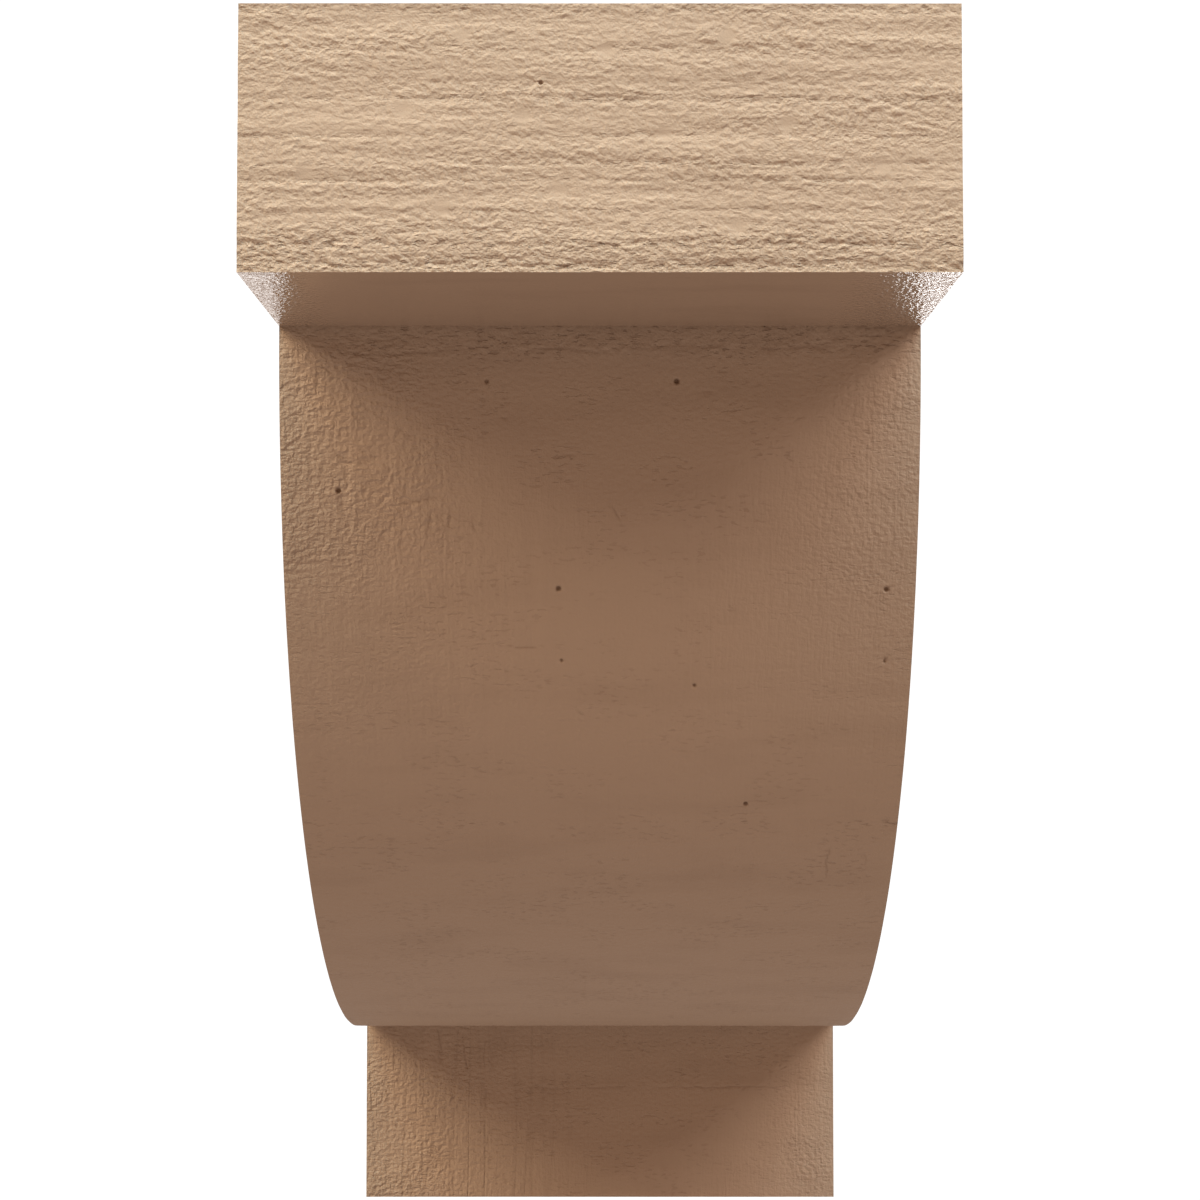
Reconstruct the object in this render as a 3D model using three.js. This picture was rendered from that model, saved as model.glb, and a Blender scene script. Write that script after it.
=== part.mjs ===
// Timber corbel: a square cap, a quarter-round belly below it and a square foot, sawn as one
// block of a single width. Units are millimetres.
// X runs along the wall, the wall is the plane Y = 0 with the corbel standing out towards -Y,
// and Z is up. The origin is the middle of the flat back that lies against the wall.

import * as THREE from 'three';

// Driving dimensions

const WIDTH = 152.4;
const HEIGHT = 304.8;
const DEPTH = 304.8;
const CAP_HEIGHT = 57.15;
const CAP_OVERHANG = 57.15;
const FOOT_HEIGHT = 57.15;
const FOOT_DEPTH = 57.15;

// The belly's quarter round is drawn with twice this many flats
const BELLY_DIVISIONS = 24;

// Heights and distances from the wall that follow from them

const top = HEIGHT / 2;
const bottom = -HEIGHT / 2;
const capUnderside = top - CAP_HEIGHT;
const footTop = bottom + FOOT_HEIGHT;
const bellyFront = DEPTH - CAP_OVERHANG;

// The side profile, drawn with its x axis pointing out from the wall and its y axis up.
// The belly leaves the cap's underside straight down and meets the foot level.

function sideProfile() {
  const bellyReach = bellyFront - FOOT_DEPTH;
  const bellyDrop = capUnderside - footTop;
  const levelEnd = -Math.PI / 2;
  const uprightEnd = 0;

  const profile = new THREE.Shape();
  profile.moveTo(0, bottom);
  profile.lineTo(FOOT_DEPTH, bottom);
  profile.lineTo(FOOT_DEPTH, footTop);
  profile.absellipse(FOOT_DEPTH, capUnderside, bellyReach, bellyDrop, levelEnd, uprightEnd, false);
  profile.lineTo(DEPTH, capUnderside);
  profile.lineTo(DEPTH, top);
  profile.lineTo(0, top);
  profile.closePath();
  return profile;
}

// Rough-sawn timber in an even tan

function tanTimber() {
  return new THREE.MeshStandardMaterial({
    color: new THREE.Color(0.5, 0.36, 0.25),
    roughness: 0.75,
    metalness: 0,
  });
}

// The profile runs the full width. It is centred on the middle of the wall face and then turned
// so that its x axis points out from the wall and its y axis points up.

function corbelBlock() {
  const geometry = new THREE.ExtrudeGeometry(sideProfile(), {
    depth: WIDTH,
    bevelEnabled: false,
    curveSegments: BELLY_DIVISIONS,
  });
  geometry.translate(0, 0, -WIDTH / 2);

  const block = new THREE.Mesh(geometry, tanTimber());
  block.name = 'corbel';
  block.rotation.set(Math.PI / 2, 0, -Math.PI / 2, 'ZYX');
  return block;
}

const part = new THREE.Group();
part.add(corbelBlock());

export default part;
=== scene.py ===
# %% [markdown]
# # A rough-sawn timber corbel
# A corbel is a bracket that stands out of a wall and carries a beam, a shelf or an eave.
# This one is a single block: a square cap, a belly that is a quarter round, and a square foot.
# Its measured solid is loaded first, because every surface made here has to lie on that solid.
# The sizes could be typed in again, but then the two would drift apart when one changed.

# %% Load the measured solid
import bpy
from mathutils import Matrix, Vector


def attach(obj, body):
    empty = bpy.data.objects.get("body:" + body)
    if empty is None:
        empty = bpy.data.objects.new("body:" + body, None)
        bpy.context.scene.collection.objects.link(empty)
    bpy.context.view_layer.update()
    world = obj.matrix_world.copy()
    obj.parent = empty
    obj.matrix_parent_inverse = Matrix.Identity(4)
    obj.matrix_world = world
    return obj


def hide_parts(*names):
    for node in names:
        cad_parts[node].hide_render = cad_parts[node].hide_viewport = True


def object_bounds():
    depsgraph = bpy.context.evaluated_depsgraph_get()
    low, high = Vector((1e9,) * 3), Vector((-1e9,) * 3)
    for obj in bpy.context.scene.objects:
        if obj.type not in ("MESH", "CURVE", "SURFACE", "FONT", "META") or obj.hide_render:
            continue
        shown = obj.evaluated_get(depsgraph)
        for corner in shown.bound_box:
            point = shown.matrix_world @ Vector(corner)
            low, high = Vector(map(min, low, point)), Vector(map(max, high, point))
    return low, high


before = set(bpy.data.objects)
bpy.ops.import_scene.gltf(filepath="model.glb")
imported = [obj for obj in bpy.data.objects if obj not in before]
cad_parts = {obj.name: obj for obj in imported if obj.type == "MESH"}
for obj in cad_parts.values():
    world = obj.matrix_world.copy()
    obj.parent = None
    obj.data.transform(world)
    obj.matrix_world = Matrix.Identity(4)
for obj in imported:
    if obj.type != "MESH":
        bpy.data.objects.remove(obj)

solid_low, solid_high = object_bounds()
print("solid, in metres:", [round(size, 4) for size in solid_high - solid_low])

# %% The parts of Blender that this lesson uses
import math

import bmesh
import bpy
from mathutils import Vector, geometry, kdtree, noise

MM = 0.001

# %% [markdown]
# ## The camera
# The photograph was taken square on and close, level with the middle of the corbel, so the foot,
# which is further back, looks narrow. A long lens would lose that. The corbel fills the frame to
# the top, so the view also looks up by a hair. Part of that comes from tilting the camera. The
# rest is a lens shift, as on a view camera, which keeps the upright edges nearly parallel. A
# larger shift would push the corbel out of the frame when the camera goes round it.

# %% Set up the camera
EYE = Vector((0, -0.7293, -0.0009))
TILT_UP = math.radians(2.18)
LENS = 61.32
SENSOR = 36
LENS_RISE = 0.045

camera_data = bpy.data.cameras.new("front camera")
camera_data.lens = LENS
camera_data.sensor_width = SENSOR
camera_data.shift_y = LENS_RISE
camera = bpy.data.objects.new("front camera", camera_data)
camera.location = EYE
camera.rotation_euler = (math.pi / 2 + TILT_UP, 0, 0)
bpy.context.scene.collection.objects.link(camera)
bpy.context.scene.camera = camera
print("camera stands", round((solid_low.y - EYE.y) / MM), "mm in front of the cap")

# %% [markdown]
# ## The outline that the block was sawn to
# Seen from the side, the block has six straight edges and one quarter round. Its corners are read
# off the solid: the cap's face is the part furthest forward, its underside is the lowest point of
# that face, and so on. Reading them keeps the two models the same if a size changes.

# %% Read the corners off the solid
TOUCH = 0.01 * MM
corners = [vertex.co.copy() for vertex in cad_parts["corbel"].data.vertices]

left, right = solid_low.x, solid_high.x
wall, cap_front = solid_high.y, solid_low.y
bottom, top = solid_low.z, solid_high.z
cap_under = min(c.z for c in corners if abs(c.y - cap_front) < TOUCH)
belly_front = max(c.y for c in corners if abs(c.z - cap_under) < TOUCH)
foot_front = min(c.y for c in corners if abs(c.z - bottom) < TOUCH)
foot_top = max(c.z for c in corners if abs(c.y - foot_front) < TOUCH)

width = right - left
belly_reach = foot_front - belly_front
belly_drop = cap_under - foot_top
belly_length = (belly_reach + belly_drop) / 2 * math.pi / 2
print("cap", round((top - cap_under) / MM, 2), "mm tall")
print("belly", round(belly_length / MM, 1), "mm round")

# %% [markdown]
# ## Sheets
# Each face of the block is made as a sheet with flat coordinates of its own, like a piece of
# veneer: one number across it and one down it, in metres. A sheet knows where a flat point lies on
# the block and which way is outward there. The same flat numbers later say where the saw marks
# go, so the marks follow the belly round its curve. One subdivided block with a displacement map
# could do it too, but the marks would smear where the faces turn away from the map.

# %% Say where each sheet lies
def at_belly(a, b):
    turn = b / belly_length * math.pi / 2
    y = foot_front - belly_reach * math.cos(turn)
    z = cap_under - belly_drop * math.sin(turn)
    return Vector((left + a, y, z))


def out_of_belly(a, b):
    turn = b / belly_length * math.pi / 2
    return Vector((0, -math.cos(turn) / belly_reach, -math.sin(turn) / belly_drop)).normalized()


def facing(x, y, z):
    return lambda a, b: Vector((x, y, z))


SHEETS = {
    "cap face": (lambda a, b: Vector((left + a, cap_front, top - b)), facing(0, -1, 0)),
    "cap soffit": (lambda a, b: Vector((left + a, cap_front + b, cap_under)), facing(0, 0, -1)),
    "belly": (at_belly, out_of_belly),
    "foot face": (lambda a, b: Vector((left + a, foot_front, foot_top - b)), facing(0, -1, 0)),
    "foot end": (lambda a, b: Vector((left + a, foot_front + b, bottom)), facing(0, 0, -1)),
    "back": (lambda a, b: Vector((right - a, wall, top - b)), facing(0, 1, 0)),
    "top": (lambda a, b: Vector((left + a, wall - b, top)), facing(0, 0, 1)),
    "left cheek": (lambda a, b: Vector((left, wall - a, top - b)), facing(-1, 0, 0)),
    "right cheek": (lambda a, b: Vector((right, cap_front + a, top - b)), facing(1, 0, 0)),
}
SHEET_NAMES = list(SHEETS)
print(len(SHEETS), "sheets")

# %% [markdown]
# ## How fine the net is
# The cap's saw ripples are a millimetre apart and run level, so its net is finest downwards. The
# belly and foot are softer, and the plain faces need few points. Two sheets that meet have to
# share every point of the edge between them, or hairline gaps open there. So each edge is
# divided once, and both sheets use that list of points.

# %% Divide the edges
CAP_ACROSS = 0.74 * MM
CAP_DOWN = 0.32 * MM
BELLY_ACROSS = 1.12 * MM
BELLY_DOWN = 1.45 * MM
FOOT_DOWN = 1.2 * MM
PLAIN_STEP = 3.7 * MM


def steps(end, step):
    count = max(1, round(end / step))
    return [end * i / count for i in range(count + 1)]


cap_columns = steps(width, CAP_ACROSS)
belly_columns = steps(width, BELLY_ACROSS)
plain_columns = steps(width, PLAIN_STEP)
cap_rows = steps(top - cap_under, CAP_DOWN)
belly_rows = steps(belly_length, BELLY_DOWN)
foot_rows = steps(foot_top - bottom, FOOT_DOWN)
soffit_rows = steps(belly_front - cap_front, PLAIN_STEP)
foot_end_rows = steps(wall - foot_front, PLAIN_STEP)
back_rows = steps(top - bottom, PLAIN_STEP)
top_rows = steps(wall - cap_front, PLAIN_STEP)
print("cap", len(cap_columns), "x", len(cap_rows), "belly", len(belly_columns), "x", len(belly_rows))

# %% [markdown]
# ## Two ways to fill a sheet
# The cap's face, the belly and the foot's face are rectangles when laid flat, so a plain grid of
# four-sided faces fills them. The other sheets have fine edges on some sides and coarse ones on
# others, and the two cheeks have the quarter round cut out. A grid can't do that. For them
# Blender's triangulation fills an outline through a scatter of points inside it.

# %% Fill a sheet with a grid
net = bmesh.new()
flat_layer = net.loops.layers.uv.new("flat")
sheet_layer = net.faces.layers.int.new("sheet")


def lay(name, flat_points, faces):
    """Lays flat points and faces on the block, all facing outward, and notes where each came from."""
    place, outward = SHEETS[name]
    vertices = [net.verts.new(place(a, b)) for a, b in flat_points]
    for indices in faces:
        face = net.faces.new([vertices[i] for i in indices])
        face[sheet_layer] = SHEET_NAMES.index(name)
        for loop, i in zip(face.loops, indices):
            loop[flat_layer].uv = flat_points[i]
        face.normal_update()
        if face.normal.dot(outward(*flat_points[indices[0]])) < 0:
            face.normal_flip()


def grid_sheet(name, columns, rows):
    points = [(a, b) for b in rows for a in columns]
    per_row = len(columns)
    faces = []
    for row in range(len(rows) - 1):
        for column in range(per_row - 1):
            first = row * per_row + column
            faces.append((first, first + per_row, first + per_row + 1, first + 1))
    lay(name, points, faces)


grid_sheet("cap face", cap_columns, cap_rows)
grid_sheet("belly", belly_columns, belly_rows)
grid_sheet("foot face", belly_columns, foot_rows)
print("after the grids:", len(net.faces), "faces")


# %% Fill a sheet inside an outline
# Two settings of the triangulation: keep only what is inside, and how close counts as the same
INSIDE_ONLY = 1
TINY = 1e-9
# Scattered points keep this share of a step away from the outline
CLEAR_OF_RIM = 0.55


def is_in_block(y, z):
    if y < belly_front or z > cap_under or y > foot_front:
        return y > foot_front or z > cap_under
    out = (foot_front - y) / belly_reach
    down = (cap_under - z) / belly_drop
    return out * out + down * down < 1


def scatter_inside(name, outline, step):
    """Rows of points, every second row set off by half a step, none too close to the outline."""
    rim = kdtree.KDTree(len(outline))
    for i, (a, b) in enumerate(outline):
        rim.insert((a, b, 0), i)
    rim.balance()
    far_a = max(a for a, b in outline)
    far_b = max(b for a, b in outline)
    inside = []
    for row, b in enumerate(steps(far_b, step * math.sqrt(3) / 2)):
        for a in steps(far_a, step):
            a += step / 2 * (row % 2)
            here = SHEETS[name][0](a, b)
            off_cheek = name.endswith("cheek") and not is_in_block(here.y, here.z)
            if a < far_a and not off_cheek and rim.find((a, b, 0))[2] > step * CLEAR_OF_RIM:
                inside.append((a, b))
    return inside


def net_sheet(name, outline, step=PLAIN_STEP):
    points = [Vector(point) for point in outline + scatter_inside(name, outline, step)]
    found = geometry.delaunay_2d_cdt(points, [], [list(range(len(outline)))], INSIDE_ONLY, TINY)
    lay(name, [tuple(point) for point in found[0]], found[2])


def ring(*lines):
    """Joins lines of points end to end. Each line's last point is left out, as the next starts there."""
    return [point for line in lines for point in line[:-1]]


def rectangle(near_columns, side_rows, far_columns):
    far_a, far_b = near_columns[-1], side_rows[-1]
    return ring(
        [(a, 0) for a in near_columns],
        [(far_a, b) for b in side_rows],
        [(a, far_b) for a in reversed(far_columns)],
        [(0, b) for b in reversed(side_rows)],
    )


net_sheet("cap soffit", rectangle(cap_columns, soffit_rows, belly_columns))
net_sheet("foot end", rectangle(belly_columns, foot_end_rows, plain_columns))
net_sheet("back", rectangle(plain_columns, back_rows, plain_columns))
net_sheet("top", rectangle(plain_columns, top_rows, cap_columns))
print("with the plain sheets:", len(net.faces), "faces")


# %% Fill the two cheeks
def profile():
    """Goes round the block's outline as (y, z): down the front, along the foot and up the wall."""
    return ring(
        [(cap_front, top - b) for b in cap_rows],
        [(cap_front + b, cap_under) for b in soffit_rows],
        [at_belly(0, b).yz for b in belly_rows],
        [(foot_front, foot_top - b) for b in foot_rows],
        [(foot_front + b, bottom) for b in foot_end_rows],
        [(wall, top - b) for b in reversed(back_rows)],
        [(wall - b, top) for b in top_rows],
    )


net_sheet("left cheek", [(wall - y, top - z) for y, z in profile()])
net_sheet("right cheek", [(y - cap_front, top - z) for y, z in profile()])
print("with the cheeks:", len(net.faces), "faces")

# %% Sew the sheets together
WELD = 0.005 * MM
bmesh.ops.remove_doubles(net, verts=net.verts, dist=WELD)
print("open edges after sewing:", sum(len(edge.link_faces) != 2 for edge in net.edges))

# %% [markdown]
# ## Pinholes and splits
# A few round holes about a millimetre across are scattered over the front, and some short splits
# and tears. The net is too coarse for them, so the faces round each one are cut into smaller ones
# first. Only those faces pay for it. Cutting the whole net that fine would need millions.

# %% Place the pinholes and the splits
# Places are millimetres across from the block's middle line and down from the sheet's top edge.
# A pinhole also has a radius in mm and a darkness from 0 to 1, which is the shade painted inside it
# and also sets its depth.
PINHOLES = [
    ("cap face", -12.5, 16.9, 0.42, 0.45),
    ("belly", -26.9, 13.0, 0.5, 0.5),
    ("belly", 18.2, 13.0, 0.6, 0.8),
    ("belly", -62.4, 39.0, 0.6, 0.75),
    ("belly", -10.0, 62.9, 0.6, 0.7),
    ("belly", 69.1, 63.1, 0.6, 0.7),
    ("belly", -9.4, 81.3, 0.38, 0.5),
    ("belly", 69.5, 81.6, 0.38, 0.5),
    ("belly", 23.2, 88.0, 0.42, 0.5),
    ("belly", 37.0, 123.1, 0.55, 0.7),
]
# A split runs from one point to another, and has a depth and a half width in mm
SPLITS = [
    ("belly", (-60, 6.6), (-22, 5.6), 0.12, 0.45),
    ("belly", (-24, 5.4), (76, 4.6), 0.14, 0.5),
    ("belly", (-75, 31.5), (-62, 34.0), 0.2, 0.5),
    ("belly", (-62, 33.0), (-53, 32.0), 0.16, 0.45),
    ("belly", (-48, 42.5), (-38, 41.0), 0.22, 0.5),
    ("belly", (-40.5, 44.0), (-41.5, 51.0), 0.2, 0.45),
    ("belly", (-36.0, 43.5), (-36.4, 49.0), 0.2, 0.4),
    ("belly", (-30.5, 45.0), (-29.0, 50.0), 0.12, 0.4),
    ("belly", (-48.0, 23.5), (-46.0, 27.5), 0.18, 0.4),
    ("belly", (-43.0, 31.0), (-41.5, 34.5), 0.16, 0.4),
    ("belly", (-24.5, 21.8), (-20.5, 22.4), 0.2, 0.4),
    ("belly", (-29.0, 26.0), (-26.8, 27.0), 0.2, 0.4),
    ("belly", (-9.5, 30.2), (-5.5, 30.6), 0.16, 0.35),
    ("belly", (-12.0, 17.6), (-9.0, 17.2), 0.16, 0.35),
    ("belly", (23.0, 15.0), (27.5, 16.0), 0.18, 0.4),
    ("belly", (41.0, 17.0), (44.5, 17.4), 0.18, 0.4),
    ("belly", (2.6, 42.4), (4.8, 47.0), 0.18, 0.35),
    ("belly", (25.2, 54.8), (28.2, 53.2), 0.18, 0.35),
    ("belly", (-24.0, 70.8), (-22.8, 73.0), 0.16, 0.35),
    ("belly", (-25.0, 77.2), (-11.8, 77.7), 0.1, 0.3),
    ("belly", (37.3, 67.6), (37.9, 73.4), 0.12, 0.3),
    ("belly", (59.0, 138.0), (59.6, 150.0), 0.14, 0.4),
    ("belly", (68.6, 140.0), (69.4, 156.0), 0.2, 0.45),
    ("foot face", (-26, 22.2), (62, 21.4), 0.12, 0.4),
    ("foot face", (-31.8, 32.6), (-36.4, 36.4), 0.24, 0.4),
    ("foot face", (-36.4, 36.0), (-35.6, 40.4), 0.24, 0.4),
    ("foot face", (-45.0, 3.0), (-43.5, 17.0), 0.2, 0.45),
    ("foot face", (-38.0, 6.0), (-37.0, 30.0), 0.16, 0.45),
    ("foot face", (-53.0, 2.0), (-51.5, 12.0), 0.2, 0.45),
]
print(len(PINHOLES), "pinholes and", len(SPLITS), "splits")

HALF_WIDTH = width / 2 / MM
# A split wanders this many mm to each side, by two noises, and closes now and then. Each noise
# is its length and width in mm and a seed.
WOBBLE = 0.7
SHORT_WOBBLE = (3.5, 1, 2.5)
LONG_WOBBLE = (11, 1, 7.5)
CLOSING = (9, 1, 4.5)
CLOSED, OPEN = -0.5, 0.1
# It opens from its tip over this stretch, in mm
TIP = (-0.5, 2.0)


def streaks(along, across, length, spread, seed):
    """About -0.7 to 0.7. It changes over `length` mm along the mark and over `spread` mm across it."""
    return noise.noise(Vector((along / length, across / spread, seed)))


def smooth_step(low, high, value):
    """0 at low and 1 at high, with a soft change between. Low can be the larger of the two."""
    t = min(1.0, max(0.0, (value - low) / (high - low)))
    return t * t * (3 - 2 * t)


def from_split(split, x, b):
    """How far a flat point is from a split, and how open the split is there, from 0 to 1."""
    start, end = Vector(split[1]), Vector(split[2])
    run = end - start
    along = (Vector((x, b)) - start).dot(run) / run.length
    aside = (Vector((x, b)) - start).cross(run) / run.length
    aside -= WOBBLE * streaks(along, start.y, *SHORT_WOBBLE) + WOBBLE * streaks(along, start.y, *LONG_WOBBLE)
    outside = max(0.0, -along, along - run.length)
    taper = smooth_step(*TIP, min(along, run.length - along))
    taper *= smooth_step(CLOSED, OPEN, streaks(along, start.x, *CLOSING))
    return math.hypot(aside, outside), taper


# %% Cut the net finer round them
PIN_CUTS = 4
SPLIT_CUTS = 2
# How far the finer net reaches: in radii round a pinhole, and in mm from a split
PIN_REACH = 2.6
SPLIT_REACH = 1.0


def flat_middle(face):
    """The middle of a face, in mm across from the middle line and mm down."""
    middle = sum((loop[flat_layer].uv for loop in face.loops), Vector((0, 0))) / len(face.loops) / MM
    return middle.x - HALF_WIDTH, middle.y


def cut_finer(is_near, cuts):
    near = [face for face in net.faces if is_near(SHEET_NAMES[face[sheet_layer]], *flat_middle(face))]
    edges = list({edge for face in near for edge in face.edges})
    bmesh.ops.subdivide_edges(net, edges=edges, cuts=cuts, use_grid_fill=True)
    return len(near)


def near_a_pinhole(sheet, x, b):
    return any(
        pin[0] == sheet and math.hypot(x - pin[1], b - pin[2]) < pin[3] * PIN_REACH for pin in PINHOLES
    )


def near_a_split(sheet, x, b):
    return any(split[0] == sheet and from_split(split, x, b)[0] < SPLIT_REACH for split in SPLITS)


split_faces = cut_finer(near_a_split, SPLIT_CUTS)
pin_faces = cut_finer(near_a_pinhole, PIN_CUTS)
print(split_faces, "and", pin_faces, "faces cut finer,", len(net.faces), "in all")

# %% [markdown]
# ## The marks of the saw
# A rough saw tears the fibres, and what it leaves isn't random dirt: shallow ripples that run with
# the cut, rows where the tearing went deeper, fine upright fibres, and smooth islands between.
# Each is a noise that is stretched one way, so it is written as a length along the mark and a
# width across it, in real millimetres. Blender's own noise does this in a few lines, and a
# sculpted or scanned surface would have to be fitted to every face.

# %% Layers of noise
def marks(layers, along, across):
    """Adds up noises. A layer has a height in mm, a length and a width in mm, and a seed."""
    return sum(
        height * streaks(along, across, length, spread, seed) for height, length, spread, seed in layers
    )


def scales(layers, along, across):
    """The same, but each layer is 0 in the creases between scales and highest in their middles."""
    return sum(
        height * abs(streaks(along, across, length, spread, seed))
        for height, length, spread, seed in layers
    )


def patches(along, across, length, spread, seed, low, high):
    """0 where the noise is under low and 1 where it is over high, so marks come and go in patches."""
    return smooth_step(low, high, streaks(along, across, length, spread, seed))


def weigh(weights, *parts):
    """The first weight, which holds everywhere, plus each part times its own weight."""
    return weights[0] + sum(weight * part for weight, part in zip(weights[1:], parts))


# %% [markdown]
# ## The cap's face
# This is the roughest face and the one that the light rakes across. Its ripples run level and are
# one to three millimetres long. In some rows the saw tore deeper, a swell runs along the lower
# edge with torn fibre on it, and a dozen small islands stayed smooth. Ripples could be painted as
# a picture and laid on, but here they are heights, so they catch the light from any side.

# %% Relief of the cap's face
CAP_HEIGHT = (top - cap_under) / MM
# The islands are millimetres across from the middle line and down from the top
CAP_ISLANDS = [
    (-28.9, 6.7), (1.2, 9.9), (26.8, 6.9), (-41.5, 22.4), (-16.3, 23.9), (13.5, 27.9),
    (39.2, 25.4), (-33.2, 43.6), (-8.7, 39.4), (28.8, 47.4), (59.3, 34.5), (-62.0, 36.0),
]
ISLAND_RADIUS = 1.7
# An island is quite smooth out to the first share of its radius and gone at the second
ISLAND_RIM = (0.4, 1.5)
# Rows of deeper tearing: millimetres down, half width and strength
CAP_ROWS = [
    (1.5, 1.6, 0.5), (9.5, 1.2, 0.3), (20.6, 1.3, 0.7), (28.1, 1.1, 0.5),
    (34.0, 0.9, 0.5), (37.5, 0.9, 0.5), (44.0, 1.0, 0.3), (51.2, 1.4, 1.0), (55.6, 1.4, 0.8),
]
# A row comes and goes over this length and width, but is never fainter than its faintest
ROW_PATCH = (17, 3)
CAP_ROW_GAPS = (-0.4, 0.3)
ROW_FAINTEST = 0.35
ROW_HEIGHT = 0.19
ROW_CREASE = 0.06
# The torn band and the swell along the lower edge
LOW_BAND = (CAP_HEIGHT - 13, CAP_HEIGHT - 7)
SWELL_AT = CAP_HEIGHT - 6.6
SWELL_HALF = 6.5
SWELL_HEIGHT = 0.2
CAP_BEND = [(0.6, 60, 16, 5.5), (0.2, 11, 6, 6.5)]
CAP_WAVES = [(0.22, 120, 9, 2.2), (0.2, 55, 3.0, 3.2)]
CAP_SCALES = [(0.4, 1.8, 1.2, 9.4), (0.33, 3.2, 2.1, 4.8)]
CAP_SCALES_MEAN = 0.17
CAP_TORN_DRIFT = [(0.35, 40, 5, 1.3)]
# How torn the face is and how many tears it has: everywhere, then added in a row, in the low band
CAP_TORN = (0.82, 0.3, 0.4)
CAP_TEARS = (0.1, 0.9, 0.4)
CAP_FIBRE = 0.1


def clear_of_islands(x, b):
    """0 on a smooth island and 1 away from all of them."""
    clear = 1.0
    for island_x, island_b in CAP_ISLANDS:
        clear *= smooth_step(*ISLAND_RIM, math.hypot(x - island_x, b - island_b) / ISLAND_RADIUS)
    return clear


def cap_relief(x, b):
    """Broad and fine height in mm, then how strong ripples, wrinkles, fibres, tears, grooves are."""
    level = b + marks(CAP_BEND, x, b)
    row = 0.0
    for middle, half, strength in CAP_ROWS:
        patchy = ROW_FAINTEST + (1 - ROW_FAINTEST) * patches(x, b, *ROW_PATCH, middle, *CAP_ROW_GAPS)
        row += strength * patchy * smooth_step(half, 0, abs(level - middle))
    low_band = smooth_step(*LOW_BAND, level)
    clear = clear_of_islands(x, b)
    torn = (weigh(CAP_TORN, row, low_band) + marks(CAP_TORN_DRIFT, x, level)) * clear
    swell = SWELL_HEIGHT * smooth_step(SWELL_HALF, 0, abs(level - SWELL_AT))
    broad = marks(CAP_WAVES, x, level) + swell - ROW_HEIGHT * row
    fine = torn * (scales(CAP_SCALES, x, level) - CAP_SCALES_MEAN) - ROW_CREASE * row
    tears = clear * min(1.0, weigh(CAP_TEARS, row, low_band))
    return broad, fine, torn, 0.0, CAP_FIBRE, tears, 0.0


print(len(CAP_ROWS), "torn rows and", len(CAP_ISLANDS), "smooth islands on the cap")

# %% [markdown]
# ## The belly
# A curve is cut with a narrow blade and then gone over, so the belly is smoother than the cap.
# Faint upright fibres and level saw lines cross all of it. Right under the cap a band is left
# crinkled, and the left and right borders are wrinkled where the fibre tore. Those areas are
# made with soft borders, because a hard border would look like a patch stuck on.

# %% Relief of the belly
UPRIGHT_FIBRES = [(0.06, 70, 3.4, 0), (0.05, 30, 2.2, 3)]
SAW_LINES = [(0.05, 80, 3.0, 5), (0.07, 60, 11, 7)]
LEVEL_WRINKLES = (0.13, 4.2, 2.5, 0)
UPRIGHT_WRINKLES = (0.13, 6.5, 2.6, 4)


def reseeded(layer, seed):
    """The same layer of noise somewhere else in it, so no two faces have the same marks."""
    return [(*layer[:-1], layer[-1] + seed)]


def fibres_and_lines(x, b, seed):
    upright = sum(marks(reseeded(layer, seed), b, x) for layer in UPRIGHT_FIBRES)
    return upright + sum(marks(reseeded(layer, seed), x, b) for layer in SAW_LINES)


def wrinkles(x, b, seed):
    """Blocky wrinkles that run level and upright."""
    return marks(reseeded(LEVEL_WRINKLES, seed), x, b) + marks(reseeded(UPRIGHT_WRINKLES, seed), b, x)


# A notch in the corner under an overhang, which also paints shade into the colour there as a hollow:
# how far down it reaches and how deep it lies, in mm
CORNER_REACH = 1.2
CORNER_DEPTH = 0.25
# Rows of fine ticks: millimetres down, half width and strength
BELLY_ROWS = [
    (21.8, 1.2, 0.4), (31.0, 1.2, 0.4), (129.5, 1.3, 0.6), (143.0, 1.2, 0.4), (148.5, 1.4, 0.5),
]
BELLY_BEND = [(1.6, 20, 16, 12.1)]
BELLY_SCALES = [(0.44, 4.2, 1.8, 13.9)]
BELLY_SCALES_MEAN = 0.1
# Soft borders in mm: of the crinkled band, then of the torn areas, across and down
UNDER_CAP = (8.5, 5.0)
LEFT_PATCH, LEFT_PATCH_END = (-22, -50), (70, 48)
LEFT_TRAIL, LEFT_TRAIL_END = (-24, -52), (130, 60)
RIGHT_PATCH, RIGHT_PATCH_END = (38, 64), (85, 50)
PATCH_START = (2, 10)
# How much of the bend those borders and the rows of ticks follow
BORDER_BEND = 0.5
PATCH_BEND = 0.3
# Where the areas are broken up, and where single ticks lie
BELLY_BROKEN = (13, 10, 11.5, -0.25, 0.35)
BELLY_TICKS = (15, 6, 17.5, -0.15, 0.3)
BELLY_ROW_GAPS = (-0.3, 0.3)
# How torn each area is: everywhere in it, then added where it is broken
LEFT_TORN = (0.6, 0.4)
TRAIL_TORN = (0.0, 0.3)
RIGHT_TORN = (0.22, 0.25)
# How strong each mark is: everywhere, then added in the band, on torn wood or among the ticks
BELLY_RIPPLE = (0.1, 0.5)
BELLY_WRINKLE = (0.24, 0.66)
BELLY_GROOVE = (0.25, 0.4)
BELLY_TEARS = (0.0, 0.4, 0.38)
BELLY_FIBRE = 1.0
BELLY_WRINKLE_SEED, BELLY_LINE_SEED = 15.3, 20.5


# Sinks the corner under an overhang, and so paints shade there through the hollow darkening
def corner_notch(b):
    return CORNER_DEPTH * smooth_step(CORNER_REACH, 0, b)


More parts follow.
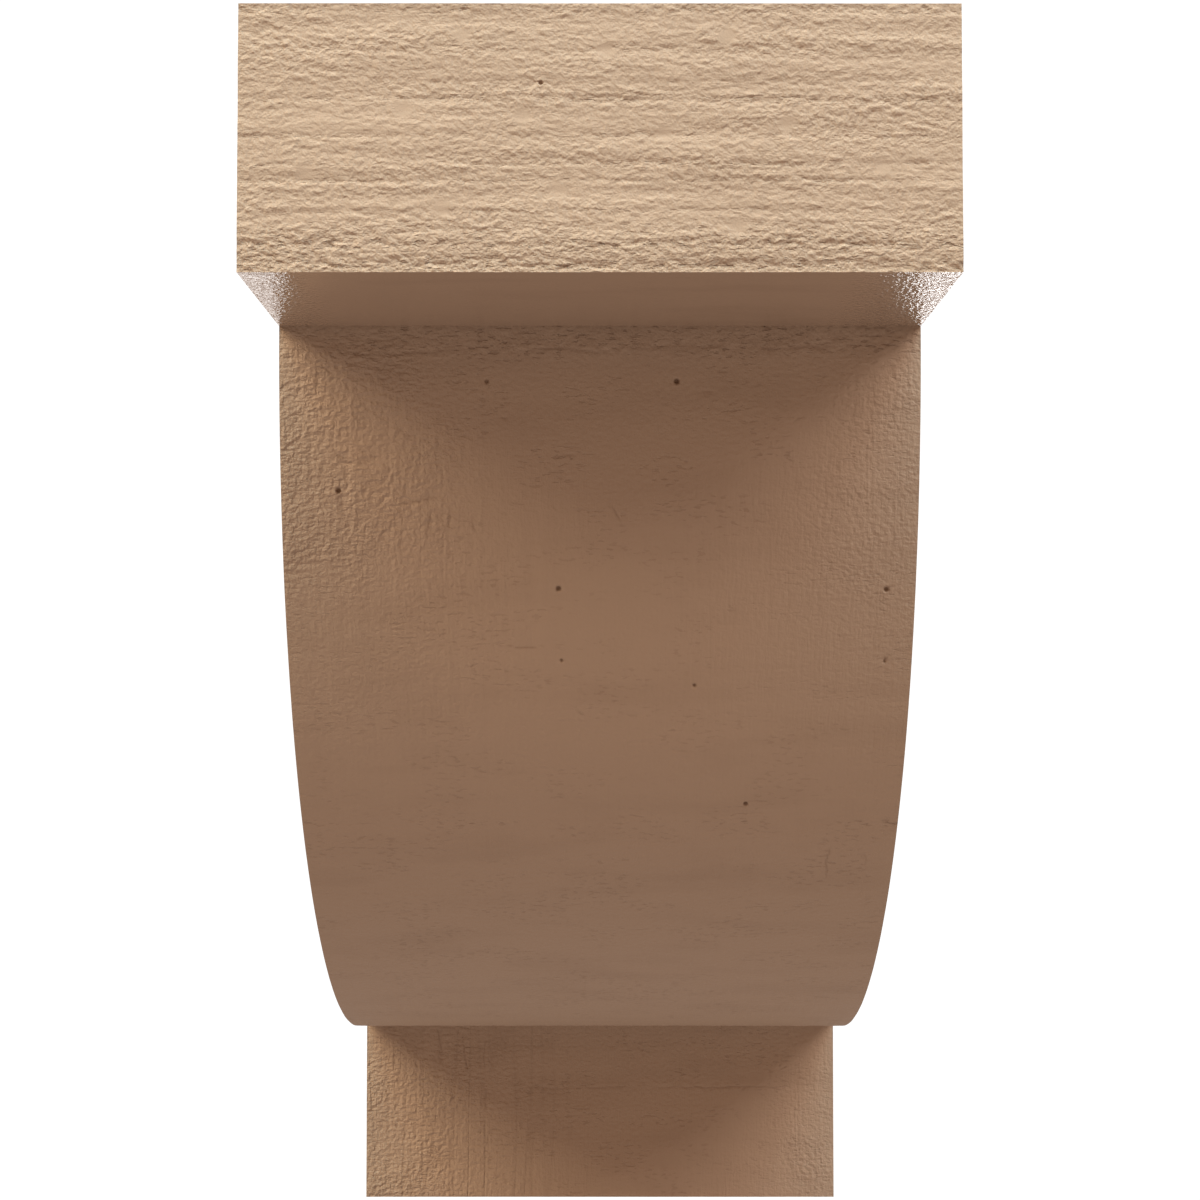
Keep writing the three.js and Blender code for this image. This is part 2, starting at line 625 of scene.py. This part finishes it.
def belly_relief(x, b):
    bend = marks(BELLY_BEND, x, b)
    under_cap = smooth_step(*UNDER_CAP, b + BORDER_BEND * bend)
    left_patch = smooth_step(*LEFT_PATCH, x + PATCH_BEND * bend) * smooth_step(*LEFT_PATCH_END, b)
    left_patch *= smooth_step(*PATCH_START, b)
    left_trail = smooth_step(*LEFT_TRAIL, x) * smooth_step(*LEFT_TRAIL_END, b)
    right_patch = smooth_step(*RIGHT_PATCH, x) * smooth_step(*RIGHT_PATCH_END, b)
    right_patch *= smooth_step(*PATCH_START, b)
    broken = patches(x, b, *BELLY_BROKEN)
    torn = left_patch * weigh(LEFT_TORN, broken) + left_trail * weigh(TRAIL_TORN, broken)
    torn = min(1.0, torn + right_patch * weigh(RIGHT_TORN, broken))
    crinkle = under_cap * (scales(BELLY_SCALES, x, b + bend) - BELLY_SCALES_MEAN)
    broad = fibres_and_lines(x, b, BELLY_LINE_SEED)
    fine = torn * wrinkles(x + bend, b, BELLY_WRINKLE_SEED) + crinkle - corner_notch(b)
    tears = weigh(BELLY_TEARS, under_cap, patches(x, b, *BELLY_TICKS))
    for middle, half, strength in BELLY_ROWS:
        patchy = patches(x, b, *ROW_PATCH, middle, *BELLY_ROW_GAPS)
        tears += strength * patchy * smooth_step(half, 0, abs(b + PATCH_BEND * bend - middle))
    ripple = weigh(BELLY_RIPPLE, under_cap)
    wrinkle = weigh(BELLY_WRINKLE, torn)
    return broad, fine, ripple, wrinkle, BELLY_FIBRE, tears, weigh(BELLY_GROOVE, left_patch)


# %% [markdown]
# ## The foot
# The foot is finished like the belly, with a wrinkled left edge, a narrower right one, and thin
# upright grooves on its left half where the grain opened. It takes the belly's functions with
# borders of its own, as two faces worked by the same tool look alike.

# %% Relief of the foot
FOOT_BEND = [(1.6, 20, 16, 32.1)]
# Soft borders in mm of the torn edges, of where they start downwards, and of the grooves
FOOT_LEFT, FOOT_RIGHT = (-8, -58), (50, 68)
FOOT_START = (-4, 22)
FOOT_GROOVED = (5, -35)
FOOT_BROKEN = (12, 14, 31.5, -0.1, 0.35)
FOOT_TICKS = (15, 6, 37.5, -0.1, 0.3)
FOOT_LEFT_TORN, FOOT_RIGHT_TORN = (0.6, 0.4), (0.2, 0.35)
FOOT_RIPPLE = 0.1
FOOT_WRINKLE = (0.26, 0.85)
FOOT_GROOVE = (0.3, 1.4)
FOOT_TEARS = (0.0, 0.4)
FOOT_FIBRE = 1.4
FOOT_WRINKLE_SEED, FOOT_LINE_SEED = 35.3, 40.5


def foot_relief(x, b):
    bend = marks(FOOT_BEND, x, b)
    left_edge = smooth_step(*FOOT_LEFT, x + BORDER_BEND * bend)
    right_edge = smooth_step(*FOOT_RIGHT, x + BORDER_BEND * bend)
    broken = patches(x, b, *FOOT_BROKEN)
    torn = left_edge * weigh(FOOT_LEFT_TORN, broken) + right_edge * weigh(FOOT_RIGHT_TORN, broken)
    torn *= smooth_step(*FOOT_START, b)
    broad = fibres_and_lines(x, b, FOOT_LINE_SEED)
    fine = torn * wrinkles(x + bend, b, FOOT_WRINKLE_SEED) - corner_notch(b)
    tears = weigh(FOOT_TEARS, patches(x, b, *FOOT_TICKS))
    groove = weigh(FOOT_GROOVE, smooth_step(*FOOT_GROOVED, x))
    return broad, fine, FOOT_RIPPLE, weigh(FOOT_WRINKLE, torn), FOOT_FIBRE, tears, groove


# %% [markdown]
# ## The plainer faces
# The cheeks and the top keep long level waves of the saw and a calmer ripple. The back lies on
# the wall and is nearly flat, and so is the foot's end. The cap's underside was planed, and only
# its two ends keep some grain. None but the underside shows in the photograph, so the others are
# kept quiet, where a strong pattern of their own would be made up.

# %% Relief of the plainer faces
SOFFIT_WAVES = [(0.02, 40, 9, 51.5)]
SOFFIT_LEFT_END, SOFFIT_RIGHT_END = (-60, -70), (50, 72)
# Grain of the underside: everywhere, then added at its left and right ends
SOFFIT_GRAIN = (0.04, 1.0, 2.4)
CHEEK_WAVES = [(0.16, 140, 9, 61.5), (0.08, 60, 5, 62.5)]
CHEEK_PATCH = (60, 7, 63.5, -0.25, 0.3)
TOP_WAVES = [(0.16, 140, 9, 71.5), (0.08, 60, 5, 72.5)]
TOP_PATCH = (60, 7, 73.5, -0.25, 0.3)
# Cheeks and top: everywhere, then added in the rougher patches
CALM_RIPPLE, CALM_TEARS = (0.6, 0.5), (0.12, 0.3)
CALM_WRINKLE, CALM_FIBRE = 0.1, 0.3
BACK_WAVES = [(0.06, 110, 14, 81.5)]
BACK_RIPPLE, BACK_WRINKLE, BACK_FIBRE, BACK_TEARS = 0.2, 0.1, 0.3, 0.2


def soffit_relief(x, b):
    grain = weigh(SOFFIT_GRAIN, smooth_step(*SOFFIT_LEFT_END, x), smooth_step(*SOFFIT_RIGHT_END, x))
    return marks(SOFFIT_WAVES, x, b), 0.0, grain, 0.0, 0.0, 0.0, 0.0


def calm_relief(waves, patch):
    """Makes the relief of a cheek or of the top out of its waves and its rougher patches."""

    def relief(a, b):
        patchy = patches(a, b, *patch)
        ripple, tears = weigh(CALM_RIPPLE, patchy), weigh(CALM_TEARS, patchy)
        return marks(waves, a, b), 0.0, ripple, CALM_WRINKLE, CALM_FIBRE, tears, 0.0

    return relief


def back_relief(x, b):
    return marks(BACK_WAVES, x, b), 0.0, BACK_RIPPLE, BACK_WRINKLE, BACK_FIBRE, BACK_TEARS, 0.0


RELIEF = {
    "cap face": cap_relief,
    "cap soffit": soffit_relief,
    "belly": belly_relief,
    "foot face": foot_relief,
    "foot end": soffit_relief,
    "back": back_relief,
    "top": calm_relief(TOP_WAVES, TOP_PATCH),
    "left cheek": calm_relief(CHEEK_WAVES, CHEEK_PATCH),
    "right cheek": calm_relief(CHEEK_WAVES, CHEEK_PATCH),
}
print("reliefs for", len(RELIEF), "sheets")

# %% [markdown]
# ## Carving
# Each point is pushed along the outward direction of its sheet. A point on an edge belongs to two
# sheets and takes both pushes. The whole relief sits just under the measured surface, as sawing
# only takes wood away, and it fades towards the edges, which stay straight and square. A
# displacement in the material would look the same in a render, but an exported mesh loses it.

# %% Push every point in by its relief
# How far from an edge, in mm, the relief is back to full height: the fine marks, then the waves
EDGE_FADE = 1.0
PLAIN_FADE = 6.0
# The darkest pinhole is this deep, in mm, and fainter ones are shallower. Its wall starts and
# ends at these shares of its radius.
PIN_DEPTH = 1.0
PIN_WALL = (1.35, 0.65)
# How far away a point can lie and still be tried: in radii from a pinhole, in mm from a split
PIN_LOOK = 2
SPLIT_LOOK = 2
# The inside of a split is painted this much darker, as painted shade
SPLIT_SHADE = 0.35
# How far in each sheet lies on average, in mm, at its edges and inside. The front sheets are
# sawn right up to their edges.
FRONT_SKIN = (0.3, 0.3)
PLAIN_SKIN = (0.04, 0.2)
SKIN = {
    "cap face": FRONT_SKIN,
    "cap soffit": (0.05, 0.08),
    "belly": FRONT_SKIN,
    "foot face": FRONT_SKIN,
    "foot end": (0.04, 0.1),
    "back": (0.03, 0.1),
    "top": PLAIN_SKIN,
    "left cheek": PLAIN_SKIN,
    "right cheek": PLAIN_SKIN,
}


def holes(sheet, x, b):
    """How deep pinholes and splits go at a flat point, in mm, and how much shade is painted inside them."""
    deep = tone_and_shade = 0.0
    for pin_sheet, pin_x, pin_b, radius, darkness in PINHOLES:
        near = max(abs(x - pin_x), abs(b - pin_b)) < PIN_LOOK * radius
        if pin_sheet == sheet and near:
            inside = smooth_step(*PIN_WALL, math.hypot(x - pin_x, b - pin_b) / radius)
            deep = max(deep, PIN_DEPTH * darkness * inside)
            tone_and_shade = max(tone_and_shade, darkness * inside)
    for split in SPLITS:
        split_sheet, start, end, depth, half = split
        near_x = min(start[0], end[0]) - SPLIT_LOOK < x < max(start[0], end[0]) + SPLIT_LOOK
        near_b = min(start[1], end[1]) - SPLIT_LOOK < b < max(start[1], end[1]) + SPLIT_LOOK
        if split_sheet == sheet and near_x and near_b:
            away, taper = from_split(split, x, b)
            inside = smooth_step(half, 0, away) * taper
            deep = max(deep, depth * inside)
            tone_and_shade = max(tone_and_shade, SPLIT_SHADE * inside)
    return deep, tone_and_shade


def flats_of(vertex):
    """Where the point lies on each of its sheets."""
    found = {}
    for loop in vertex.link_loops:
        found[SHEET_NAMES[loop.face[sheet_layer]]] = loop[flat_layer].uv / MM
    return found


def is_on_rim(vertex):
    return len({face[sheet_layer] for face in vertex.link_faces}) > 1


rim_points = [vertex.co.copy() for vertex in net.verts if is_on_rim(vertex)]
rim = kdtree.KDTree(len(rim_points))
for i, point in enumerate(rim_points):
    rim.insert(point, i)
rim.balance()

LOOKS = ("ripple", "wrinkle", "fibre", "tears", "groove", "hole_shade", "hollow_shade")
pushes = []
looks_at = {}
net.verts.index_update()
for vertex in net.verts:
    from_rim = rim.find(vertex.co)[2] / MM
    push = Vector()
    for sheet, (a, b) in flats_of(vertex).items():
        broad, fine, *strengths = RELIEF[sheet](a - HALF_WIDTH, b)
        deep, tone_and_shade = holes(sheet, a - HALF_WIDTH, b)
        at_edge, inside = SKIN[sheet]
        if at_edge != inside:
            broad *= smooth_step(0, PLAIN_FADE, from_rim)
        skin = at_edge + (inside - at_edge) * smooth_step(0, PLAIN_FADE, from_rim)
        depth = skin - broad - fine * smooth_step(0, EDGE_FADE, from_rim) + deep
        push -= SHEETS[sheet][1](a * MM, b * MM) * max(0.0, depth) * MM
        # The last two looks are the shade painted inside holes and splits, and the shade painted in hollows
        # as deep as the fine relief sinks
        looks_at[vertex.index, sheet] = (*strengths, tone_and_shade, max(0.0, -fine))
    pushes.append(push)
for vertex, push in zip(net.verts, pushes):
    vertex.co += push
print("deepest push:", round(max(push.length for push in pushes) / MM, 2), "mm")

# %% [markdown]
# ## From net to object
# The net becomes a mesh, and the strengths worked out above go with it as attributes, so that the
# material knows where to be torn or grooved and where to paint shade. Where two sheets meet the edge is
# marked sharp.
# Without that the smooth shading would round a sawn arris that is square on the real block.

# %% Make the carved block an object
PLANED = ("cap soffit",)
block_mesh = bpy.data.meshes.new("carved block")
net.to_mesh(block_mesh)
sheet_of_face = [face[sheet_layer] for face in net.faces]
net.free()

# A point on an edge looks different from each side, so the looks belong to the corners of faces
corner_looks = []
for polygon, sheet in zip(block_mesh.polygons, sheet_of_face):
    corner_looks += [looks_at[i, SHEET_NAMES[sheet]] for i in polygon.vertices]
for name, values in zip(LOOKS, zip(*corner_looks)):
    block_mesh.attributes.new(name, "FLOAT", "CORNER").data.foreach_set("value", values)

is_planed = [SHEET_NAMES[sheet] in PLANED for sheet in sheet_of_face]
block_mesh.attributes.new("planed", "FLOAT", "FACE").data.foreach_set("value", is_planed)

sheets_at_edge = {}
for polygon, sheet in zip(block_mesh.polygons, sheet_of_face):
    polygon.use_smooth = True
    for key in polygon.edge_keys:
        sheets_at_edge.setdefault(key, set()).add(sheet)
for edge in block_mesh.edges:
    edge.use_edge_sharp = len(sheets_at_edge[edge.key]) > 1

block = bpy.data.objects.new("carved_block", block_mesh)
bpy.context.scene.collection.objects.link(block)
triangles = sum(len(polygon.vertices) - 2 for polygon in block_mesh.polygons)
print("carved block:", triangles, "triangles")

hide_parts("corbel")
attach(block, "root")

# %% [markdown]
# ## The finish
# The timber has one even coat of tan primer with a low sheen. Nearly all that the eye reads as
# wood is relief, so the colour hardly changes: it drifts a little, and shade is painted into it,
# a little darker in tears, grooves, hollows and holes. The ripples under a millimetre wide are too
# fine for the net and are bump in the material. They read the same flat coordinates as the carving,
# so both run the same way. The cap's underside was planed before it was primed, and it mirrors
# light at a low angle. One material with a switch for the planed face does both, where two would have to be
# kept the same by hand.

# %% Helpers that keep node trees short
def add(tree, kind, inputs=(), **settings):
    made = tree.nodes.new(kind)
    for key, value in settings.items():
        setattr(made, key, value)
    for key, value in dict(inputs).items():
        if isinstance(value, bpy.types.NodeSocket):
            tree.links.new(value, made.inputs[key])
        else:
            made.inputs[key].default_value = value
    return made


def maths(tree, operation, first, second=0.0, third=0.0):
    return add(tree, "ShaderNodeMath", {0: first, 1: second, 2: third}, operation=operation).outputs[0]


def stretched_noise(tree, flat, across_mm, down_mm, detail, roughness):
    """A noise that changes over across_mm across the sheet and over down_mm down it."""
    scale = (1 / (across_mm * MM), 1 / (down_mm * MM), 1)
    placed = add(tree, "ShaderNodeMapping", {"Vector": flat, "Scale": scale}).outputs[0]
    inputs = {"Vector": placed, "Scale": 1.0, "Detail": detail, "Roughness": roughness}
    return add(tree, "ShaderNodeTexNoise", inputs, noise_dimensions="2D").outputs["Fac"]


def creases(tree, flat, across_mm, down_mm, sharpness):
    """0 along thin creases and 1 between them."""
    middle = maths(tree, "SUBTRACT", stretched_noise(tree, flat, across_mm, down_mm, 1.0, 0.5), 0.5)
    return maths(tree, "MINIMUM", maths(tree, "MULTIPLY", maths(tree, "ABSOLUTE", middle), sharpness), 1.0)


# %% Tan primer on sawn timber
TAN = (0.379, 0.251, 0.165, 1)
# The darker tan is where the colour drifts and where shade is painted
TONE_AND_SHADE_TAN = (0.150, 0.078, 0.040, 1)

timber = bpy.data.materials.new("tan primed timber")
timber.use_nodes = True
tree = timber.node_tree
shader = tree.nodes["Principled BSDF"]

flat = add(tree, "ShaderNodeUVMap", uv_map="flat").outputs[0]
ripple, wrinkle, fibre, tears, groove, hole_shade, hollow_shade = [
    add(tree, "ShaderNodeAttribute", attribute_name=name).outputs["Fac"] for name in LOOKS
]

# Each noise here has mm across, mm down, a detail and a roughness. Wandering makes the ripples
# run in uneven lines, up to this many mm to either side.
WANDER = 0.6
wander = stretched_noise(tree, flat, 14, 7, 2.0, 0.5)
wander = maths(tree, "MULTIPLY_ADD", wander, 2 * WANDER * MM, -WANDER * MM)
wander = add(tree, "ShaderNodeCombineXYZ", {"X": wander, "Y": wander}).outputs[0]
bent = add(tree, "ShaderNodeVectorMath", {0: flat, 1: wander}, operation="ADD").outputs[0]

fine_ripple = stretched_noise(tree, bent, 1.0, 0.9, 1.0, 0.5)
lumps = stretched_noise(tree, flat, 1.4, 1.15, 2.0, 0.5)
level_wrinkle = stretched_noise(tree, bent, 2.8, 1.1, 1.0, 0.5)
upright_wrinkle = stretched_noise(tree, bent, 1.1, 3.0, 1.0, 0.5)
fine_fibre = stretched_noise(tree, bent, 0.8, 12, 2.0, 0.55)
grit = stretched_noise(tree, flat, 0.45, 0.38, 1.0, 0.5)
tear_noise = stretched_noise(tree, bent, 2.6, 0.85, 2.0, 0.5)

# A tear is where its noise is low, and a groove is a crease, unbroken upright and fainter level
NO_TEAR, FULL_TEAR = 0.42, 0.30
GROOVE_SHARPNESS = 14.0
LEVEL_GROOVE = 0.5
tear_range = {0: tear_noise, 1: NO_TEAR, 2: FULL_TEAR}
tear = add(tree, "ShaderNodeMapRange", tear_range, interpolation_type="SMOOTHSTEP")
tear = maths(tree, "MULTIPLY", tear.outputs[0], tears)
upright_groove = creases(tree, flat, 6.0, 110, GROOVE_SHARPNESS)
level_groove = creases(tree, flat, 80, 7.5, GROOVE_SHARPNESS)
level_groove = maths(tree, "MULTIPLY_ADD", level_groove, LEVEL_GROOVE, 1 - LEVEL_GROOVE)
grooves = maths(tree, "MULTIPLY", maths(tree, "MINIMUM", upright_groove, level_groove), groove)

# Heights in mm
RIPPLE = 0.3
WRINKLE = 0.62
FIBRE = 0.1
TEAR = 0.2
GROOVE = 0.08
GRIT = 0.035
BLOCKY_SHARE = 0.4
all_wrinkles = maths(tree, "ADD", level_wrinkle, upright_wrinkle)
all_wrinkles = maths(tree, "MULTIPLY_ADD", all_wrinkles, BLOCKY_SHARE, lumps)
all_wrinkles = maths(tree, "MULTIPLY", all_wrinkles, wrinkle)
relief = maths(tree, "MULTIPLY", maths(tree, "MULTIPLY", fine_ripple, ripple), RIPPLE)
relief = maths(tree, "MULTIPLY_ADD", all_wrinkles, WRINKLE, relief)
relief = maths(tree, "MULTIPLY_ADD", maths(tree, "MULTIPLY", fine_fibre, fibre), FIBRE, relief)
relief = maths(tree, "MULTIPLY_ADD", tear, -TEAR, relief)
relief = maths(tree, "MULTIPLY_ADD", grooves, GROOVE, relief)
relief = maths(tree, "MULTIPLY_ADD", grit, GRIT, relief)
bump = add(tree, "ShaderNodeBump", {"Strength": 1.0, "Distance": MM, "Height": relief})
tree.links.new(bump.outputs[0], shader.inputs["Normal"])

# The colour is painted darker in tears, grooves, hollows and holes, as painted shade, and drifts a little
# from place to place
DRIFT = 0.18
# How much painted shade darkens grooves, tears and hollows
GROOVE_SHADE = 0.07
TEAR_SHADE = 0.45
HOLLOW_SHADE = 0.8
# Painted shade along the creases of the grooves
groove_shade = maths(tree, "SUBTRACT", groove, grooves)
drift = stretched_noise(tree, flat, 45, 12, 3.0, 0.55)
tone_and_shade = maths(tree, "MULTIPLY_ADD", drift, 2 * DRIFT, -DRIFT)
tone_and_shade = maths(tree, "MULTIPLY_ADD", groove_shade, GROOVE_SHADE, tone_and_shade)
# Painted shade inside the tears, where the bump sinks
tone_and_shade = maths(tree, "MULTIPLY_ADD", tear, TEAR_SHADE, tone_and_shade)
# Painted shade in hollows, as deep as the fine relief sinks
tone_and_shade = maths(tree, "MULTIPLY_ADD", hollow_shade, HOLLOW_SHADE, tone_and_shade)
# Pinholes and splits are at least as dark as the shade painted inside them
tone_and_shade = maths(tree, "MAXIMUM", tone_and_shade, hole_shade)
tan = add(tree, "ShaderNodeMix", {"Factor": tone_and_shade, 6: TAN, 7: TONE_AND_SHADE_TAN}, data_type="RGBA")
tree.links.new(tan.outputs[2], shader.inputs["Base Color"])

# Sawn faces are dull, and the planed underside of the cap has a sheen
SAWN_ROUGHNESS = 0.65
PLANED_ROUGHNESS = 0.09
SAWN_SHEEN = 0.25
PLANED_SHEEN = 0.5
PRIMER_IOR = 1.45
planed = add(tree, "ShaderNodeAttribute", attribute_name="planed").outputs["Fac"]
rough = maths(tree, "MULTIPLY_ADD", planed, PLANED_ROUGHNESS - SAWN_ROUGHNESS, SAWN_ROUGHNESS)
tree.links.new(rough, shader.inputs["Roughness"])
sheen = maths(tree, "MULTIPLY_ADD", planed, PLANED_SHEEN - SAWN_SHEEN, SAWN_SHEEN)
tree.links.new(sheen, shader.inputs["Specular IOR Level"])
shader.inputs["IOR"].default_value = PRIMER_IOR

block_mesh.materials.append(timber)
print("material:", timber.name, "with", len(tree.nodes), "nodes")

# %% [markdown]
# ## The studio floor
# A floor tells the eye which way is up when the block is seen from the side. In the photograph
# there is none in sight, only paper, so it lies well below the block and is out of the front
# view. It is a plain pale sheet, because a curved backdrop would show its bend from behind.

# %% Floor
FLOOR_DROP = 1.1
FLOOR_SIZE = 7.0
FLOOR_GREY = (0.30, 0.30, 0.30, 1)
FLOOR_GLOW = (0.86, 0.85, 0.84, 1)
FLOOR_GLOW_STRENGTH = 0.6
FLOOR_ROUGHNESS = 0.9

floor_mesh = bpy.data.meshes.new("studio floor")
half = FLOOR_SIZE / 2
floor_z = bottom - FLOOR_DROP
floor_corners = [(x * half, y * half, floor_z) for x, y in ((-1, -1), (1, -1), (1, 1), (-1, 1))]
floor_mesh.from_pydata(floor_corners, [], [(0, 1, 2, 3)])
floor = bpy.data.objects.new("studio_floor", floor_mesh)
bpy.context.scene.collection.objects.link(floor)

# The surround's lower half gives the light from below, so the floor is only there to be seen
floor.visible_diffuse = False
floor.visible_glossy = False
floor.visible_shadow = False

pale = bpy.data.materials.new("pale floor")
pale.use_nodes = True
pale_shader = pale.node_tree.nodes["Principled BSDF"]
pale_shader.inputs["Base Color"].default_value = FLOOR_GREY
pale_shader.inputs["Emission Color"].default_value = FLOOR_GLOW
pale_shader.inputs["Emission Strength"].default_value = FLOOR_GLOW_STRENGTH
pale_shader.inputs["Roughness"].default_value = FLOOR_ROUGHNESS
floor_mesh.materials.append(pale)
print("floor", round(FLOOR_DROP / MM), "mm below the block")

# %% [markdown]
# ## The light
# A product photographer lights such a piece in a pale surround with softboxes overhead, left and
# right, all high and only a little in front. The cap takes their light, and its overhang shades
# the belly, as the belly shades the foot. The pale lower half of the surround fills the shade.
# Two small cards behind, out of sight, put a glare on the cap's underside, where the view
# grazes it. One bright lamp would be simpler, but it would draw hard shadow edges.

# %% The pale surround
# Bright and slightly warm below the horizon, dim above it, where the softboxes are
GLOW_BELOW = (0.65, 0.583, 0.558, 1)
GLOW_ABOVE = (0.396, 0.224, 0.113, 1)
HORIZON_BLEND = 0.12
WHITE = (1, 1, 1, 1)
SEEN_STRENGTH = 1.1

world = bpy.data.worlds.new("pale surround")
world.use_nodes = True
sky = world.node_tree
background = sky.nodes["Background"]
direction = add(sky, "ShaderNodeTexCoord").outputs["Generated"]
height = add(sky, "ShaderNodeSeparateXYZ", {"Vector": direction}).outputs["Z"]
above = add(sky, "ShaderNodeMapRange", {0: height, 1: -HORIZON_BLEND, 2: HORIZON_BLEND}).outputs[0]
glow = add(sky, "ShaderNodeMix", {"Factor": above, 6: GLOW_BELOW, 7: GLOW_ABOVE}, data_type="RGBA")
sky.links.new(glow.outputs[2], background.inputs["Color"])
paper = add(sky, "ShaderNodeBackground", {"Color": WHITE, "Strength": SEEN_STRENGTH})
seen = add(sky, "ShaderNodeLightPath").outputs["Is Camera Ray"]
mixed = add(sky, "ShaderNodeMixShader", {0: seen, 1: background.outputs[0], 2: paper.outputs[0]})
sky.links.new(mixed.outputs[0], sky.nodes["World Output"].inputs["Surface"])
bpy.context.scene.world = world


# %% Softboxes
AIM = Vector((0, -0.28, 0.05))
SOFTBOX_AWAY = 1.5
SOFTBOX_WATTS = (math.pi * SOFTBOX_AWAY) ** 2


def panel(name, place, aim, size, watts, light):
    """A lit rectangle that faces what it is aimed at and is itself out of sight."""
    data = bpy.data.lights.new(name, "AREA")
    data.shape = "RECTANGLE"
    data.size, data.size_y = size
    data.energy = watts
    data.color = light
    lamp = bpy.data.objects.new(name, data)
    lamp.location = place
    lamp.rotation_euler = (place - aim).to_track_quat("Z", "Y").to_euler()
    lamp.visible_camera = False
    bpy.context.scene.collection.objects.link(lamp)
    print(name, "at", [round(side, 2) for side in place])


def softbox(name, turn, rise, size, light):
    """A panel so many degrees round from the front and up. Its light is its colour times strength."""
    turn, rise = math.radians(turn), math.radians(rise)
    level = Vector((math.sin(turn), -math.cos(turn), 0)) * math.cos(rise)
    towards = level + Vector((0, 0, math.sin(rise)))
    panel(name, AIM + towards * SOFTBOX_AWAY, AIM, size, SOFTBOX_WATTS, light)


softbox("overhead softbox", 0, 62, (1.6, 0.6), (0.49, 1.06, 1.37))
softbox("left softbox", -66, 42, (1.0, 0.9), (1.56, 1.46, 1.2))
softbox("right softbox", 60, 45, (1.0, 0.9), (1.12, 1.12, 1.12))

# %% Cards behind the block
CARD_AIM = Vector((0, cap_front, cap_under))
CARD_OUT, CARD_BEHIND, CARD_DOWN = 0.24, 0.5, -0.08
CARD_SIZE = (0.32, 0.3)
CARD_WATTS = 1.0

left_place = Vector((-CARD_OUT, CARD_BEHIND, CARD_DOWN))
right_place = Vector((CARD_OUT, CARD_BEHIND, CARD_DOWN))
panel("left card", left_place, CARD_AIM, CARD_SIZE, CARD_WATTS, (0.62, 0.6, 0.58))
panel("right card", right_place, CARD_AIM, CARD_SIZE, CARD_WATTS, (2.0, 2.0, 2.0))

# %% Show the colours as they are, without a film look
scene = bpy.context.scene
scene.view_settings.view_transform = "Standard"
scene.view_settings.look = "None"
scene.view_settings.exposure = 0
scene.view_settings.gamma = 1
